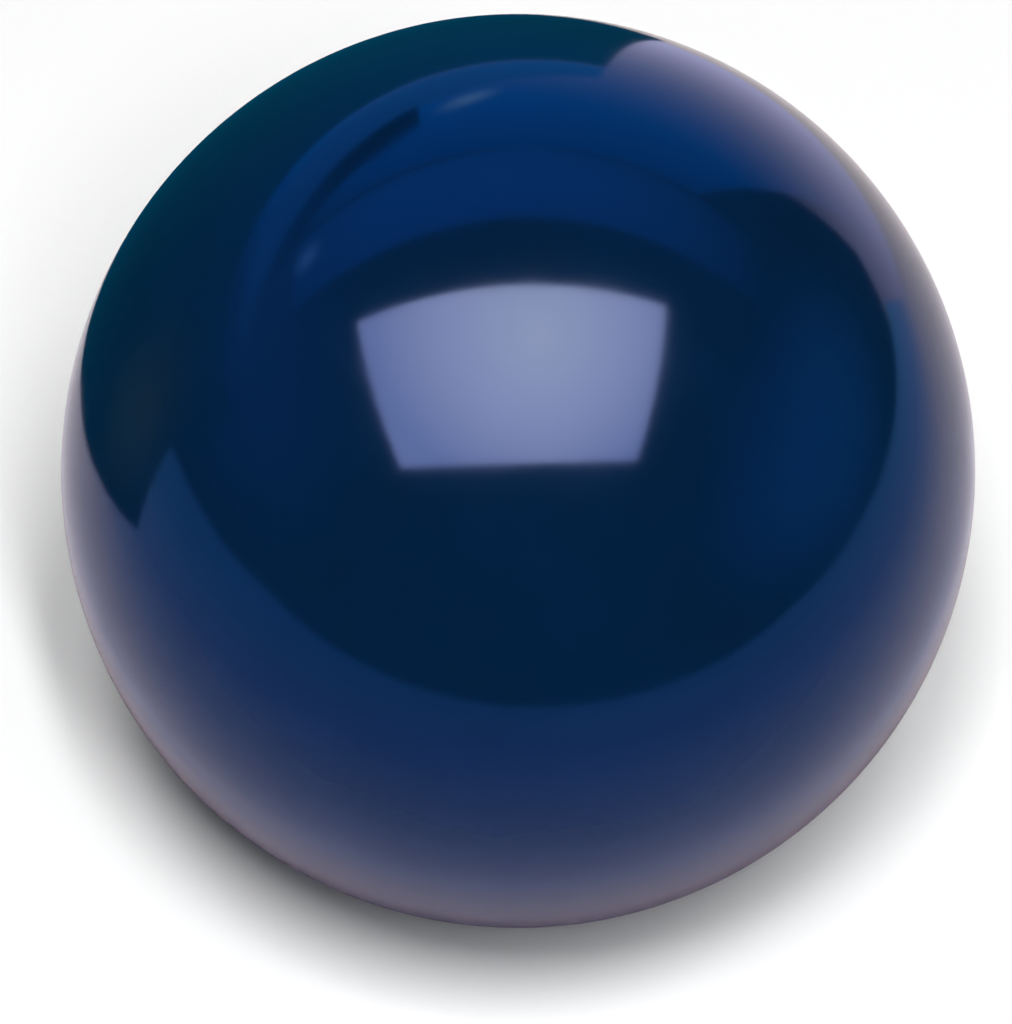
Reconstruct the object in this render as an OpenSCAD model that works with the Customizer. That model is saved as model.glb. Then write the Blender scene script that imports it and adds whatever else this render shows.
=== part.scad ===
// Carom billiard ball.
//
// A carom ball is one piece: phenolic resin cast as a single blank, cured, ground round and
// polished. The colour goes right through, with no coating, core, inlay, seam or hole, so that
// the centre of mass sits at the ball's centre and the ball rolls true.
//
// Frame: millimetres, +Z up, origin at the ball's centre. The ball rests on its lowest point.

/* [Ball] */
// Finished diameter after grinding and polishing; a carom ball is 61.0 to 61.5 mm
ball_d = 61.5; // [48:0.1:70]

/* [Hidden] */
// Facets of a preview circle; the ball itself is a true sphere
preview_facets = 180;

// The whole ball: one solid sphere about the origin
module ball() {
    color("midnightblue")
        sphere(d = ball_d, $fn = preview_facets);
}

ball();
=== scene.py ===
"""Carom billiard ball: its polished resin, and the small studio that it is photographed in."""

import math

import bmesh
import bpy
from mathutils import Matrix, Vector


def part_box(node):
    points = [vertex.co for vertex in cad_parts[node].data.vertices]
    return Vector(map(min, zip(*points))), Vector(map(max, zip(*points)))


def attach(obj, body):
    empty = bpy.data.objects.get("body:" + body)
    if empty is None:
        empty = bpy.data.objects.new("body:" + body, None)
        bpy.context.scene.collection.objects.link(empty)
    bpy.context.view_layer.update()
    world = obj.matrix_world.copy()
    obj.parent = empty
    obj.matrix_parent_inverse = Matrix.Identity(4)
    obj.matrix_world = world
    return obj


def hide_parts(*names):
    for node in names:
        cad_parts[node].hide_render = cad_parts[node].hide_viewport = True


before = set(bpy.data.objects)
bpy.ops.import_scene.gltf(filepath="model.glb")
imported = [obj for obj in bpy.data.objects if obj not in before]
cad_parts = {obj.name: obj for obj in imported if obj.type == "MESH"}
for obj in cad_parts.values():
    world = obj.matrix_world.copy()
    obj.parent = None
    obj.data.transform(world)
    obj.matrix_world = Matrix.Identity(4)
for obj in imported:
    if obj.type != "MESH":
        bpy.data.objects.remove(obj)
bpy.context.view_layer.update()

# Photograph: its size in pixels, and the circle that the ball's outline follows in it
PHOTO_W, PHOTO_H = 1012, 1024
OUTLINE_X, OUTLINE_Y, OUTLINE_R = 518, 471, 457
# Camera: how far it looks down (degrees), how far off it stands (m), its sensor (mm) and what it sees (m)
CAMERA_ELEVATION = 49
CAMERA_DISTANCE = 0.40
SENSOR = 36
CLIP_NEAR, CLIP_FAR = 0.01, 10

# Ball mesh: quads along each edge of the cube that is blown up to a sphere, and how close the rims of its
# sides have to be to be welded, as a share of the radius
BALL_STEPS = 64
WELD = 0.00001
# The texture sheet that its six sides share, and the margin round each, as a share of its cell
ATLAS_COLUMNS, ATLAS_ROWS = 3, 2
ATLAS_MARGIN = 0.02

# Resin: its refraction and the tint of its reflections
RESIN_IOR = 1.46
RESIN_TINT = (0.35, 0.45, 1.0)
# Its pigment, the roughness that buffing leaves and a very fine bump (m), and the noise that each follows:
# scale, detail and roughness
PIGMENT_NOISE = (90, 5, 0.6)
PIGMENT = [(0.3, (0.0008, 0.0096, 0.032)), (0.7, (0.0012, 0.0118, 0.040))]
BUFFING_NOISE = (160, 6, 0.65)
BUFFING = [(0.35, 0.085), (0.7, 0.115)]
BUMP_NOISE = (500, 4, 0.5)
BUMP_STRENGTH, BUMP_HEIGHT = 0.15, 0.00001

# White sheet under the ball (m): its corners on the floor, its colour, and where it fades into the white
# background
SHEET = [
    (-0.90, -0.57), (0.10, -0.205), (0.24, -0.135), (0.30, -0.02),
    (0.30, 0.21), (0.14, 0.11), (-2.1, 0.17), (-2.1, -0.40),
]
SHEET_COLOUR = (0.95, 0.95, 0.95)
FADE_FROM, FADE_TO = 0.085, 0.12
# Layers over the sheet, where the polish mirrors it (m): a painted shade close round the ball, and painted
# blue light that grows away from it. Each is an oval, with what it lets through and any light it adds, from
# rim to middle
WHITE, BLACK = (1.0, 1.0, 1.0), (0.0, 0.0, 0.0)
OVER_SHEET = {
    # painted shade: darkens the mirrored sheet close round the ball
    "soft_shade": dict(
        middle=(0.0, 0.008),
        reach=(0.044, 0.043),
        through=[
            (0.0, WHITE), (0.15, (0.80, 0.74, 0.68)), (0.3, (0.46, 0.38, 0.33)), (0.6, (0.36, 0.30, 0.30)),
        ],
    ),
    # painted blue light: tints the mirrored sheet blue and adds a blue glow, growing away from the ball
    "painted_blue_light": dict(
        middle=(0.0, 0.20),
        reach=(0.44, 0.74),
        through=[
            (0.1, (0.15, 0.58, 1.0)), (0.4, (0.20, 0.61, 1.0)), (0.6, (0.33, 0.54, 1.0)),
            (0.65, (0.50, 0.61, 0.95)), (0.69, (0.74, 0.71, 0.89)), (0.8, (0.86, 0.78, 0.80)),
        ],
        added=[(0.1, (0.0, 0.03, 0.26)), (0.6, (0.0, 0.02, 0.15)), (0.74, BLACK)],
    ),
}
LAYER_STEP = 0.0002

# Soft lamps that light the ball and the sheet: how far off they are (m), each one's heading and height
# (degrees), its width and length (m) and its power (W), and the even light that is added all round
LAMP_OFF = 1.3
LAMPS = {
    "key": dict(way=165, height=58, size=(0.10, 0.69), power=11.3),
    "fill": dict(way=190, height=66, size=(0.21, 0.40), power=8.9),
    "edge": dict(way=140, height=66, size=(0.62, 0.31), power=1.9),
}
AMBIENT = 0.025

# Softbox overhead (m): a level panel, a little towards the camera and to the left, turned a little (degrees)
SOFTBOX_WIDE, SOFTBOX_DEEP = 0.866, 0.553
SOFTBOX_AT = (-0.016, -0.232, 0.62)
SOFTBOX_TURN = 2.5
# Its hot spot, from the panel's middle, how far off the face falls to its dimmest (m), and its glow
HOT_SPOT, HOT_REACH = (0.07, 0.13), (0.46, 0.55)
SOFTBOX_LEVEL = 21
SOFTBOX_GLOW = [(0.0, (0.41, 0.42, 0.42)), (0.5, (0.75, 0.68, 0.54)), (1.0, (1.0, 0.90, 0.61))]

# Dim round room that the polish mirrors: its glow, its radius (m) and how finely it is cut
ROOM_GLOW = (0.0, 0.045, 0.11)
ROOM_RADIUS = 3.0
ROOM_CUTS = 4
# Blue wall behind the ball (m): how far off it is, its outline, the oval that lights it and its glow
WALL_OFF = 1.0
WALL = [(-2.7, -0.7), (0.87, -0.7), (0.88, 0.93), (-0.45, 1.03), (-2.7, 1.28)]
WALL_OVAL = (-0.17, 0.53), (2.6, 1.6)
WALL_GLOW = (0.0, 0.53, 1.85)
# Paler light low on the wall (m): how far off it is, its outline, its oval and its glow
LOW_OFF = 0.99
LOW = [(-2.7, -0.7), (1.47, -0.7), (1.47, -0.23), (1.08, -0.075), (0.88, 0.23), (0.88, 0.93), (-2.7, 1.28)]
LOW_OVAL = (0.49, -0.29), (2.0, 0.85)
LOW_GLOW = (0.96, 0.94, 1.40)
# Strip of lit ceiling behind the softbox (m): its height, its outline, its oval and its glow
CEILING_UP = 0.62
CEILING = [(-1.0, 0.18), (0.03, 0.26), (1.17, 0.29), (1.17, 0.66), (0.03, 0.61), (-1.0, 0.48)]
CEILING_OVAL = (-0.12, 0.41), (1.3, 0.7)
CEILING_GLOW = (0.03, 0.57, 1.85)
# Faint light at the sides: how far off it is (m), its heading, height and half width and height (degrees)
SIDE_OFF = 1.0
SIDE_LIGHTS = {
    "left_light": dict(way=-85, height=28, spread=(45, 32), colour=(0.03, 0.24, 0.72)),
    "right_light": dict(way=95, height=14, spread=(42, 28), colour=(0.02, 0.40, 1.05)),
}

# Upright plane behind the ball on the left: how far off it stands (m), its heading and roll (degrees), and
# how much nearer each layer on it is than the last (m)
SCREEN_OFF, SCREEN_WAY, SCREEN_ROLL = 0.060, -45, 3
SCREEN_STEP = 0.00012
# A dark board on that plane (m, across it and above the ball's middle), and its glow by height
BOARD = [
    (0.090, -0.0305), (0.030, -0.0305), (-0.018, -0.0203), (-0.067, -0.0190), (-0.067, 0.014),
    (-0.084, 0.018), (-0.084, 0.040), (0.030, 0.0405), (0.090, 0.0420),
]
BOARD_GLOW = [(-0.025, (0.0, 0.05, 0.10)), (0.005, (0.0, 0.09, 0.17)), (0.044, (0.0, 0.20, 0.42))]
# Ovals on the board and over its top (m): the share of each that fades, its glow, and its outline if cut
SCREEN_OVALS = {
    "board_left": dict(middle=(-0.050, 0.008), reach=(0.026, 0.030), edge=1.0, colour=(0.09, 0.22, 0.20)),
    "ledge": dict(
        middle=(0.045, 0.0485),
        reach=(0.115, 0.0085),
        edge=0.4,
        colour=(0.04, 0.46, 1.4),
        outline=[(-0.070, 0.040), (0.090, 0.040), (0.090, 0.057), (-0.070, 0.057)],
    ),
    # dark streak just above the ledge: a darker oval in the mirrored room
    "dark_streak": dict(
        middle=(0.012, 0.0580),
        reach=(0.062, 0.0100),
        edge=0.8,
        colour=(0.0, 0.05, 0.20),
        outline=[(-0.036, 0.0530), (0.025, 0.0535), (0.018, 0.075), (0.002, 0.0625), (-0.036, 0.0575)],
    ),
    "glint_left": dict(middle=(-0.0315, 0.0675), reach=(0.009, 0.006), edge=1.0, colour=(0.45, 1.4, 2.7)),
    "glint_right": dict(middle=(0.0385, 0.0615), reach=(0.014, 0.0050), edge=1.0, colour=(0.7, 1.6, 2.6)),
}

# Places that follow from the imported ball
ball_bottom, ball_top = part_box("ball")
FLOOR = ball_bottom[2]
RADIUS = (ball_top[2] - FLOOR) / 2
CENTRE = Vector((0, 0, FLOOR + RADIUS))


# Directions
def heading(degrees):
    """A level direction: 0 points away from the camera and 90 to its right."""
    turn = math.radians(degrees)
    return Vector((math.sin(turn), math.cos(turn), 0))


RIGHT, AHEAD = heading(90), heading(0)
UP = Vector((0, 0, 1))


def direction(way, height):
    """The direction of a heading and a height over the level, in degrees."""
    rise = math.radians(height)
    return heading(way) * math.cos(rise) + UP * math.sin(rise)


def look_along(obj, way):
    """Turns a lamp or a camera to look along a direction."""
    obj.rotation_mode = "QUATERNION"
    obj.rotation_quaternion = way.to_track_quat("-Z", "Y")


# Objects
def add_object(name, data):
    """An object in the scene."""
    obj = bpy.data.objects.new(name, data)
    bpy.context.scene.collection.objects.link(obj)
    return obj


def add_mesh(name, bm, material):
    """An object in the scene, with the shape of a bmesh, which is freed."""
    mesh = bpy.data.meshes.new(name)
    bm.to_mesh(mesh)
    bm.free()
    mesh.materials.append(material)
    return add_object(name, mesh)


# Node helpers
def new_material(name):
    """A material with an empty node tree, and its output node."""
    material = bpy.data.materials.new(name)
    material.use_nodes = True
    material.node_tree.nodes.clear()
    out = material.node_tree.nodes.new("ShaderNodeOutputMaterial")
    return material, material.node_tree, out


def lit_material(name):
    """A material that only glows, and its emission node."""
    material, tree, out = new_material(name)
    light = tree.nodes.new("ShaderNodeEmission")
    tree.links.new(light.outputs["Emission"], out.inputs["Surface"])
    return material, tree, light


def place_on(tree):
    """The place on the object, in its own metres."""
    return tree.nodes.new("ShaderNodeTexCoord").outputs["Object"]


def ramp(tree, source, stops):
    """A colour ramp on a value: stops are (position, colour)."""
    node = tree.nodes.new("ShaderNodeValToRGB")
    elements = node.color_ramp.elements
    elements[0].position, elements[1].position = stops[0][0], stops[-1][0]
    elements[0].color, elements[1].color = (*stops[0][1], 1), (*stops[-1][1], 1)
    for position, colour in stops[1:-1]:
        elements.new(position).color = (*colour, 1)
    tree.links.new(source, node.inputs["Fac"])
    return node.outputs["Color"]


def noise(tree, coordinates, scale, detail, roughness):
    """Noise whose features are about 1 / scale metres across."""
    node = tree.nodes.new("ShaderNodeTexNoise")
    node.inputs["Scale"].default_value = scale
    node.inputs["Detail"].default_value = detail
    node.inputs["Roughness"].default_value = roughness
    tree.links.new(coordinates, node.inputs["Vector"])
    return node.outputs["Fac"]


# Ball
def resin_material():
    """Navy phenolic resin: faintly mottled pigment under a buffed, near-mirror face."""
    material, tree, out = new_material("navy_phenolic")
    links = tree.links
    place = place_on(tree)
    resin = tree.nodes.new("ShaderNodeBsdfPrincipled")
    resin.inputs["IOR"].default_value = RESIN_IOR
    resin.inputs["Specular Tint"].default_value = (*RESIN_TINT, 1)
    pigment = noise(tree, place, *PIGMENT_NOISE)
    links.new(ramp(tree, pigment, PIGMENT), resin.inputs["Base Color"])
    haze = noise(tree, place, *BUFFING_NOISE)
    greys = [(position, (level, level, level)) for position, level in BUFFING]
    links.new(ramp(tree, haze, greys), resin.inputs["Roughness"])
    bump = tree.nodes.new("ShaderNodeBump")
    bump.inputs["Strength"].default_value = BUMP_STRENGTH
    bump.inputs["Distance"].default_value = BUMP_HEIGHT
    links.new(noise(tree, place, *BUMP_NOISE), bump.inputs["Height"])
    links.new(bump.outputs["Normal"], resin.inputs["Normal"])
    links.new(resin.outputs["BSDF"], out.inputs["Surface"])
    return material


def atlas_place(side, i, j):
    """Where a corner of one side's grid lies on the texture sheet."""
    span = 1 - 2 * ATLAS_MARGIN
    across = side % ATLAS_COLUMNS + ATLAS_MARGIN + span * i / BALL_STEPS
    along = side // ATLAS_COLUMNS + ATLAS_MARGIN + span * j / BALL_STEPS
    return across / ATLAS_COLUMNS, along / ATLAS_ROWS


def ball_shape():
    """The six sides of a cube, cut at equal angles into quads and pushed out to the ball's radius."""
    bm = bmesh.new()
    atlas = bm.loops.layers.uv.new("OFBake")
    x, y, z = Vector((1, 0, 0)), Vector((0, 1, 0)), Vector((0, 0, 1))
    sides = [(x, y, z), (y, z, x), (z, x, y), (-x, z, y), (-y, x, z), (-z, y, x)]
    slopes = [math.tan(math.radians(90 * i / BALL_STEPS - 45)) for i in range(BALL_STEPS + 1)]
    for side, (out, right, up) in enumerate(sides):
        grid = {}
        for i, across in enumerate(slopes):
            for j, along in enumerate(slopes):
                way = (out + right * across + up * along).normalized()
                grid[i, j] = bm.verts.new(CENTRE + way * RADIUS)
        for i in range(BALL_STEPS):
            for j in range(BALL_STEPS):
                corners = [(i, j), (i + 1, j), (i + 1, j + 1), (i, j + 1)]
                quad = bm.faces.new([grid[corner] for corner in corners])
                quad.smooth = True
                for loop, corner in zip(quad.loops, corners):
                    loop[atlas].uv = atlas_place(side, *corner)
    bmesh.ops.remove_doubles(bm, verts=bm.verts, dist=RADIUS * WELD)
    return bm


def make_ball():
    """The polished ball, in the place of the solid one."""
    ball = add_mesh("ball_polished", ball_shape(), resin_material())
    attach(ball, "root")
    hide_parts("ball")


# Studio helpers
def background_mask(tree):
    """1 for what the camera sees directly, in a gloss or through glass, and 0 for light that bounces."""
    path = tree.nodes.new("ShaderNodeLightPath")
    total = path.outputs["Is Camera Ray"]
    for ray in ("Is Glossy Ray", "Is Transmission Ray"):
        add = tree.nodes.new("ShaderNodeMath")
        add.operation = "ADD"
        add.use_clamp = True
        tree.links.new(total, add.inputs[0])
        tree.links.new(path.outputs[ray], add.inputs[1])
        total = add.outputs[0]
    return total


def oblong(middle, half):
    """The outline of a rectangle round a point."""
    (x, y), (wide, high) = middle, half
    return [(x - wide, y - high), (x + wide, y - high), (x + wide, y + high), (x - wide, y + high)]


def panel(name, at, right, up, outline, material):
    """A flat stage panel: its outline runs along its own right and up, from the point where it is set."""
    bm = bmesh.new()
    bm.faces.new([bm.verts.new((a, b, 0)) for a, b in outline])
    obj = add_mesh(name, bm, material)
    axes = Matrix((right, up, right.cross(up))).transposed()
    obj.matrix_world = Matrix.Translation(at) @ axes.to_4x4()
    return obj


def only_in_gloss(obj):
    """Lets a stage thing shape the reflections, and neither light the ball nor show itself."""
    obj.visible_camera = False
    obj.visible_diffuse = False
    obj.visible_transmission = False
    obj.visible_shadow = False


def mirrored_panel(name, at, right, up, outline, material):
    """A panel that only the polish sees."""
    only_in_gloss(panel(name, at, right, up, outline, material))


def oval(tree, middle, reach):
    """1 at a point of a panel, and evenly less with the distance from it, down to 0 at an oval round it."""
    aside = tree.nodes.new("ShaderNodeMapping")
    aside.vector_type = "TEXTURE"
    aside.inputs["Location"].default_value = (*middle, 0)
    aside.inputs["Scale"].default_value = (*reach, 1)
    tree.links.new(place_on(tree), aside.inputs["Vector"])
    fall = tree.nodes.new("ShaderNodeTexGradient")
    fall.gradient_type = "SPHERICAL"
    tree.links.new(aside.outputs["Vector"], fall.inputs["Vector"])
    return fall.outputs["Fac"]


def glow(name, colour, middle, reach, edge=1.0):
    """A soft oval light on a clear panel: edge is the share of the oval, from its rim in, that fades."""
    material, tree, out = new_material(name)
    share = tree.nodes.new("ShaderNodeMapRange")
    share.interpolation_type = "SMOOTHSTEP"
    share.inputs["From Max"].default_value = edge
    tree.links.new(oval(tree, middle, reach), share.inputs["Value"])
    light = tree.nodes.new("ShaderNodeEmission")
    light.inputs["Color"].default_value = (*colour, 1)
    clear = tree.nodes.new("ShaderNodeBsdfTransparent")
    mix = tree.nodes.new("ShaderNodeMixShader")
    tree.links.new(share.outputs["Result"], mix.inputs["Fac"])
    tree.links.new(clear.outputs["BSDF"], mix.inputs[1])
    tree.links.new(light.outputs["Emission"], mix.inputs[2])
    tree.links.new(mix.outputs["Shader"], out.inputs["Surface"])
    return material


# Floor
def make_floor():
    """The white sheet that the ball lies on. It fades into the background before its edges show."""
    material, tree, out = new_material("white_sheet")
    links = tree.links
    sheet = tree.nodes.new("ShaderNodeBsdfDiffuse")
    sheet.inputs["Color"].default_value = (*SHEET_COLOUR, 1)
    far = tree.nodes.new("ShaderNodeVectorMath")
    far.operation = "LENGTH"
    links.new(place_on(tree), far.inputs[0])
    fade = tree.nodes.new("ShaderNodeMapRange")
    fade.interpolation_type = "SMOOTHSTEP"
    fade.inputs["From Min"].default_value = FADE_FROM
    fade.inputs["From Max"].default_value = FADE_TO
    links.new(far.outputs["Value"], fade.inputs["Value"])
    seen = tree.nodes.new("ShaderNodeMath")
    seen.operation = "MULTIPLY"
    links.new(background_mask(tree), seen.inputs[0])
    links.new(fade.outputs["Result"], seen.inputs[1])
    white = tree.nodes.new("ShaderNodeEmission")
    mix = tree.nodes.new("ShaderNodeMixShader")
    links.new(seen.outputs[0], mix.inputs["Fac"])
    links.new(sheet.outputs["BSDF"], mix.inputs[1])
    links.new(white.outputs["Emission"], mix.inputs[2])
    links.new(mix.outputs["Shader"], out.inputs["Surface"])
    panel("sheet", Vector((0, 0, FLOOR)), RIGHT, AHEAD, SHEET, material)


def make_layer(name, layer, middle, reach, through, added=None):
    """A layer just over the sheet that only the polish sees: it paints shade, or a blue tint and glow, on
    the sheet where the polish mirrors it.
    """
    material, tree, out = new_material(name)
    place = oval(tree, middle, reach)
    clear = tree.nodes.new("ShaderNodeBsdfTransparent")
    tree.links.new(ramp(tree, place, through), clear.inputs["Color"])
    surface = clear.outputs["BSDF"]
    if added:
        light = tree.nodes.new("ShaderNodeEmission")
        tree.links.new(ramp(tree, place, added), light.inputs["Color"])
        both = tree.nodes.new("ShaderNodeAddShader")
        tree.links.new(surface, both.inputs[0])
        tree.links.new(light.outputs["Emission"], both.inputs[1])
        surface = both.outputs["Shader"]
    tree.links.new(surface, out.inputs["Surface"])
    at = Vector((0, 0, FLOOR + LAYER_STEP * layer))
    mirrored_panel(name, at, RIGHT, AHEAD, SHEET, material)


# Lights
def make_softbox():
    """The face of the overhead softbox, which the ball mirrors: brightest a little behind its middle."""
    material, tree, light = lit_material("softbox_face")
    light.inputs["Strength"].default_value = SOFTBOX_LEVEL
    tree.links.new(ramp(tree, oval(tree, HOT_SPOT, HOT_REACH), SOFTBOX_GLOW), light.inputs["Color"])
    right, ahead = heading(90 - SOFTBOX_TURN), heading(-SOFTBOX_TURN)
    outline = oblong((0, 0), (SOFTBOX_WIDE / 2, SOFTBOX_DEEP / 2))
    mirrored_panel("softbox_face", Vector(SOFTBOX_AT), right, ahead, outline, material)


def make_lamp(name, way, height, size, power):
    """A soft rectangular lamp that faces the ball and isn't mirrored in it."""
    data = bpy.data.lights.new(name, "AREA")
    data.shape = "RECTANGLE"
    data.size, data.size_y = size
    data.energy = power
    lamp = add_object(name, data)
    aim = direction(way, height)
    lamp.location = CENTRE + aim * LAMP_OFF
    look_along(lamp, -aim)
    lamp.visible_glossy = False


def make_world():
    """White where it is seen, and a soft even light on everything else."""
    world = bpy.data.worlds.new("studio")
    world.use_nodes = True
    tree = world.node_tree
    tree.nodes.clear()
    out = tree.nodes.new("ShaderNodeOutputWorld")
    light = tree.nodes.new("ShaderNodeBackground")
    light.inputs["Color"].default_value = (*WHITE, 1)
    level = tree.nodes.new("ShaderNodeMapRange")
    level.inputs["To Min"].default_value = AMBIENT
    level.inputs["To Max"].default_value = 1.0
    tree.links.new(background_mask(tree), level.inputs["Value"])
    tree.links.new(level.outputs["Result"], light.inputs["Strength"])
    tree.links.new(light.outputs["Background"], out.inputs["Surface"])
    bpy.context.scene.world = world


# Room
def make_room():
    """A dark round shell, with a dim blue wall and a strip of ceiling behind the ball."""
    material, _, light = lit_material("dim_room")
    light.inputs["Color"].default_value = (*ROOM_GLOW, 1)
    bm = bmesh.new()
    bmesh.ops.create_icosphere(bm, subdivisions=ROOM_CUTS, radius=ROOM_RADIUS)
    room = add_mesh("dim_room", bm, material)
    only_in_gloss(room)
    wall = glow("wall", WALL_GLOW, *WALL_OVAL)
    mirrored_panel("wall", AHEAD * WALL_OFF, RIGHT, UP, WALL, wall)
    wall_low = glow("wall_low", LOW_GLOW, *LOW_OVAL)
    mirrored_panel("wall_low", AHEAD * LOW_OFF, RIGHT, UP, LOW, wall_low)
    ceiling = glow("ceiling", CEILING_GLOW, *CEILING_OVAL)
    mirrored_panel("ceiling", UP * CEILING_UP, RIGHT, AHEAD, CEILING, ceiling)


def make_side_light(name, way, height, spread, colour):
    """A faint light at one side, on a panel that faces the ball."""
    outward = direction(way, height)
    right = heading(way + 90)
    half = [SIDE_OFF * math.tan(math.radians(angle)) for angle in spread]
    material = glow(name, colour, (0, 0), half)
    mirrored_panel(name, outward * SIDE_OFF, right, right.cross(outward), oblong((0, 0), half), material)


# Board behind the ball
def board_material():
    """Dark teal, a little lighter towards the top."""
    material, tree, light = lit_material("dark_board")
    split = tree.nodes.new("ShaderNodeSeparateXYZ")
    tree.links.new(place_on(tree), split.inputs[0])
    lowest, highest = BOARD_GLOW[0][0], BOARD_GLOW[-1][0]
    height = tree.nodes.new("ShaderNodeMapRange")
    height.inputs["From Min"].default_value = lowest
    height.inputs["From Max"].default_value = highest
    tree.links.new(split.outputs["Y"], height.inputs["Value"])
    stops = [((level - lowest) / (highest - lowest), colour) for level, colour in BOARD_GLOW]
    tree.links.new(ramp(tree, height.outputs["Result"], stops), light.inputs["Color"])
    return material


def on_screen(name, layer, outline, material):
    """A panel on the rolled plane behind the ball, in one of its layers."""
    across = heading(SCREEN_WAY + 90)
    roll = math.radians(SCREEN_ROLL)
    right = across * math.cos(roll) - UP * math.sin(roll)
    up = across * math.sin(roll) + UP * math.cos(roll)
    at = heading(SCREEN_WAY) * (SCREEN_OFF - SCREEN_STEP * layer)
    mirrored_panel(name, at, right, up, outline, material)


def make_screen_oval(name, layer, middle, reach, edge, colour, outline=None):
    """A soft oval on that plane, whole or cut to an outline."""
    on_screen(name, layer, outline or oblong(middle, reach), glow(name, colour, middle, reach, edge))


# Camera
def make_camera():
    """Looks down at the ball, and a little past it, so that its outline falls as in the photograph."""
    data = bpy.data.cameras.new("camera")
    data.sensor_width = SENSOR
    edge_slope = math.tan(math.asin(RADIUS / CAMERA_DISTANCE))
    pixels_per_metre = OUTLINE_R / edge_slope / CAMERA_DISTANCE
    data.lens = OUTLINE_R / edge_slope * SENSOR / max(PHOTO_W, PHOTO_H)
    data.clip_start, data.clip_end = CLIP_NEAR, CLIP_FAR
    back = direction(180, CAMERA_ELEVATION)
    up = RIGHT.cross(-back)
    aside = RIGHT * (PHOTO_W / 2 - OUTLINE_X) / pixels_per_metre
    below = up * (OUTLINE_Y - PHOTO_H / 2) / pixels_per_metre
    camera = add_object("camera", data)
    camera.location = CENTRE + back * CAMERA_DISTANCE
    look_along(camera, CENTRE + aside + below - camera.location)
    bpy.context.scene.camera = camera


bpy.context.scene.view_settings.view_transform = "Standard"
make_ball()
make_floor()
for layer, (name, values) in enumerate(OVER_SHEET.items(), start=1):
    make_layer(name, layer, **values)
make_softbox()
for name, values in LAMPS.items():
    make_lamp(name, **values)
make_room()
for name, values in SIDE_LIGHTS.items():
    make_side_light(name, **values)
on_screen("dark_board", 0, BOARD, board_material())
for layer, (name, values) in enumerate(SCREEN_OVALS.items(), start=1):
    make_screen_oval(name, layer, **values)
make_world()
make_camera()
